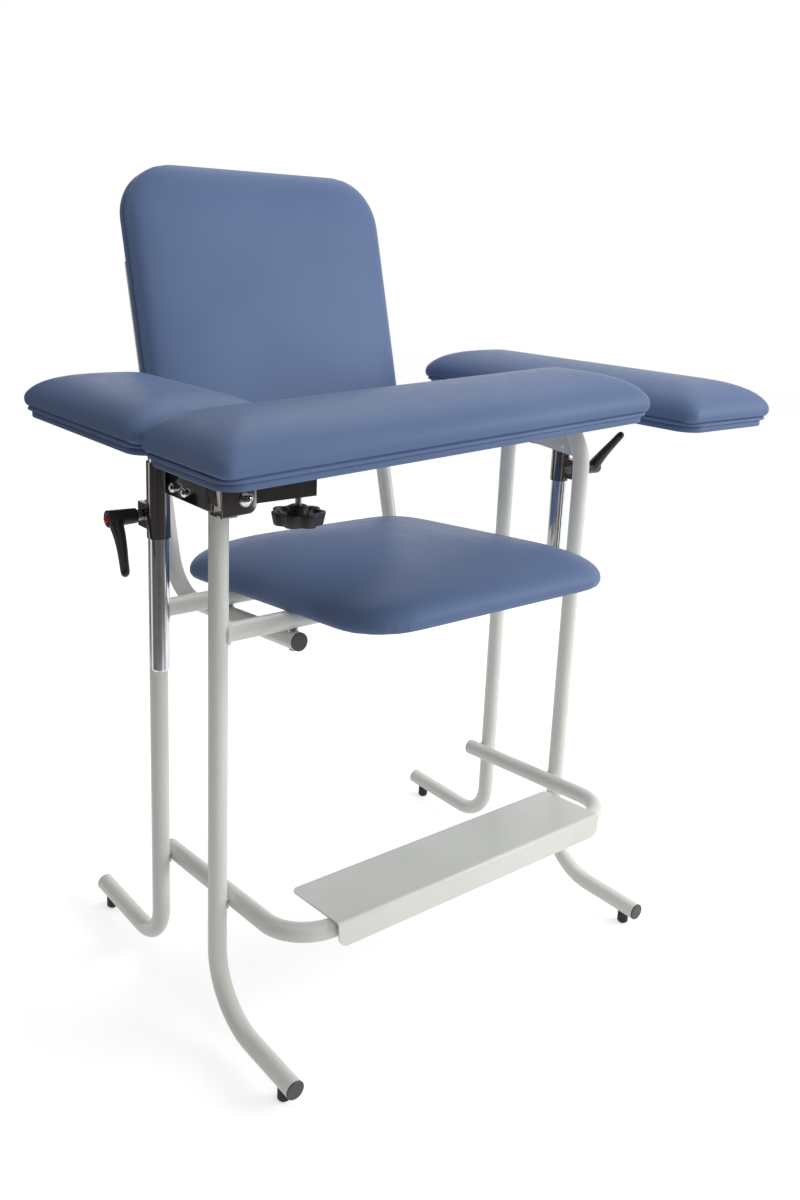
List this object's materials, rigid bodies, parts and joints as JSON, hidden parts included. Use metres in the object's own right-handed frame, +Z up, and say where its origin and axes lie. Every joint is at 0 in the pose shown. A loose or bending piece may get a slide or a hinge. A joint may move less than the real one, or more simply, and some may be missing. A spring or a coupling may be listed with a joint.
{
  "type": "phlebotomy chair",
  "caption": "Blood-draw chair: bent-tube frame with footplate, padded seat and backrest, height-adjustable swivelling padded arms and a cross arm that flips up.",
  "frame": {"origin": "on the floor under the middle of the chair's box", "axes": "+Z up, -Y towards the front of the chair, +X towards the sitter's left"},
  "size_m": [0.9293, 0.7324, 1.153],
  "materials": {
    "paint": "satin powder coat",
    "end_cap": "satin",
    "glide_rubber": "matte",
    "zinc_fasteners": "bright plated",
    "chrome": "polished",
    "lever_plastic": "fine grained",
    "button_red": "gloss",
    "vinyl": "smooth upholstery vinyl",
    "seat_panel": "plain plywood"
  },
  "bodies": {
    "frame": {"side_frame_left": "paint", "side_frame_right": "paint", "foot_caps": "end_cap", "glides": "glide_rubber", "gusset_left": "paint", "gusset_right": "paint", "foot_rail": "paint", "rail_caps": "end_cap", "footplate": "paint", "seat_tube_front": "paint", "seat_tube_rear": "paint", "back_tube_left": "paint", "back_tube_right": "paint", "back_tube_caps": "end_cap", "seat_spacers": "zinc_fasteners", "seat_bolts": "zinc_fasteners", "seat_board": "seat_panel", "seat_cushion": "vinyl", "back_bolts": "zinc_fasteners", "back_board": "vinyl", "back_cushion": "vinyl", "clamp_sleeve_left": "chrome", "clamp_sleeve_right": "chrome", "sleeve_bolts": "zinc_fasteners", "sleeve_nuts": "zinc_fasteners", "clamp_nuts": "zinc_fasteners"},
    "left_post": {"post_left": "chrome", "post_plug_left": "chrome"},
    "left_arm": {"arm_head_left": "chrome", "flange_screws_left": "zinc_fasteners", "arm_board_left": "vinyl", "arm_cushion_left": "vinyl", "arm_strap": "chrome", "pivot_bar": "chrome", "strap_screws": "zinc_fasteners", "pivot_screw": "zinc_fasteners"},
    "cross_arm": {"cross_hinge": "chrome", "cross_screws": "zinc_fasteners", "cross_board": "vinyl", "cross_cushion": "vinyl"},
    "star_knob": {"star_knob": "lever_plastic", "knob_stud": "zinc_fasteners"},
    "right_post": {"post_right": "chrome", "post_plug_right": "chrome"},
    "right_arm": {"arm_head_right": "chrome", "flange_screws_right": "zinc_fasteners", "arm_board_right": "vinyl", "arm_cushion_right": "vinyl"},
    "left_lever": {"lever_left": "lever_plastic", "clamp_screw_left": "zinc_fasteners"},
    "left_button": {"button_left": "button_red"},
    "right_lever": {"lever_right": "lever_plastic", "clamp_screw_right": "zinc_fasteners"},
    "right_button": {"button_right": "button_red"}
  },
  "joints": [
    {"name": "left_post_slide", "type": "slide", "parent": "frame", "child": "left_post", "axis": [0, 0, 1], "range_m": [0, 0.12]},
    {"name": "left_arm_swivel", "type": "hinge", "parent": "left_post", "child": "left_arm", "pos_m": [-0.3644, -0.03453, 0.8116], "axis": [0, 0, 1], "range_deg": [-90, 5]},
    {"name": "cross_arm_flip", "type": "hinge", "parent": "left_arm", "child": "cross_arm", "pos_m": [-0.346, -0.21323, 0.763], "axis": [0, -1, 0], "range_deg": [0, 90]},
    {"name": "star_knob_turn", "type": "hinge", "parent": "left_arm", "child": "star_knob", "pos_m": [-0.262, -0.19323, 0.763], "axis": [0, 0, 1], "continuous": true},
    {"name": "right_post_slide", "type": "slide", "parent": "frame", "child": "right_post", "axis": [0, 0, 1], "range_m": [0, 0.12]},
    {"name": "right_arm_swivel", "type": "hinge", "parent": "right_post", "child": "right_arm", "pos_m": [0.3644, -0.03453, 0.8116], "axis": [0, 0, 1], "range_deg": [-8, 90]},
    {"name": "left_lever_turn", "type": "hinge", "parent": "frame", "child": "left_lever", "pos_m": [-0.3804, -0.00353, 0.702], "axis": [1, 0, 0], "range_deg": [-45, 45]},
    {"name": "left_button_press", "type": "slide", "parent": "left_lever", "child": "left_button", "axis": [1, 0, 0], "range_m": [0, 0.0025], "stiffness_N_per_m": 500},
    {"name": "right_lever_turn", "type": "hinge", "parent": "frame", "child": "right_lever", "pos_m": [0.3804, -0.06553, 0.702], "axis": [1, 0, 0], "range_deg": [-45, 30]},
    {"name": "right_button_press", "type": "slide", "parent": "right_lever", "child": "right_button", "axis": [-1, 0, 0], "range_m": [0, 0.0025], "stiffness_N_per_m": 500}
  ]
}
